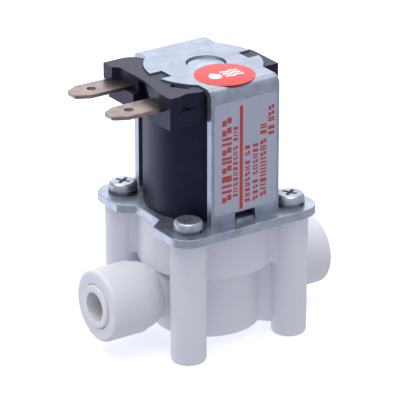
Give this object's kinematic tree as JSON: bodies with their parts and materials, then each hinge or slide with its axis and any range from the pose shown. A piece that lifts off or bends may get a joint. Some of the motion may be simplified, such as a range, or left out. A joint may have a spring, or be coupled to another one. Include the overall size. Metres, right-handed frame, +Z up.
{
  "type": "solenoid valve",
  "caption": "Direct-current solenoid valve for a drinking water line, with push-in tube fittings at both ends, a screwed cover plate and a black coil in a steel yoke.",
  "frame": {"origin": "on the valve's axis, at the plane of the four feet, midway between the inlet and the outlet posts", "axes": "+X from the inlet to the outlet, +Z up along the coil's axis, -Y towards the side with the rating label"},
  "size_m": [0.0576, 0.036, 0.0609],
  "materials": {
    "white_plastic": "satin",
    "white_collet": "satin",
    "grey_plastic": "matte",
    "black_plastic": "satin",
    "black_rubber": "matte",
    "stainless": "satin",
    "zinc_steel": "satin",
    "tinned_brass": "satin",
    "copper_wire": "satin",
    "label_foil": "satin",
    "red_sticker": "satin"
  },
  "bodies": {
    "housing": {"valve_body": "white_plastic", "inlet_cap": "white_plastic", "outlet_cap": "white_plastic", "inlet_tube_seal": "black_rubber", "outlet_tube_seal": "black_rubber", "inlet_backup_ring": "grey_plastic", "outlet_backup_ring": "grey_plastic", "guide_tube": "grey_plastic", "diaphragm": "black_rubber", "plunger_spring": "stainless", "fixed_core": "stainless", "core_seal": "black_rubber", "cover_plate": "zinc_steel", "cover_screws": "stainless", "spring_washers": "stainless", "bobbin": "black_plastic", "winding": "copper_wire", "coil_overmould": "black_plastic", "front_terminal": "tinned_brass", "rear_terminal": "tinned_brass", "yoke": "zinc_steel", "rating_label": "label_foil", "round_sticker": "red_sticker"},
    "pilot_plunger": {"plunger": "stainless", "plunger_seal": "black_rubber"},
    "diaphragm_core": {"diaphragm_insert": "grey_plastic"},
    "inlet_release": {"inlet_collet": "white_collet", "inlet_grip_ring": "stainless"},
    "outlet_release": {"outlet_collet": "white_collet", "outlet_grip_ring": "stainless"}
  },
  "joints": [
    {"name": "plunger_lift", "type": "slide", "parent": "housing", "child": "pilot_plunger", "axis": [0, 0, 1], "range_m": [0, 0.002], "stiffness_N_per_m": 150, "springref_m": -0.003, "deforming": ["plunger_spring"]},
    {"name": "diaphragm_lift", "type": "slide", "parent": "housing", "child": "diaphragm_core", "axis": [0, 0, 1], "range_m": [0, 0.0015], "deforming": ["diaphragm"]},
    {"name": "inlet_collet_push", "type": "slide", "parent": "housing", "child": "inlet_release", "axis": [1, 0, 0], "range_m": [0, 0.0012]},
    {"name": "outlet_collet_push", "type": "slide", "parent": "housing", "child": "outlet_release", "axis": [-1, 0, 0], "range_m": [0, 0.0012]}
  ],
  "couplings": [
    {"joint": "diaphragm_lift", "follows": "plunger_lift", "ratio": 0.75}
  ]
}
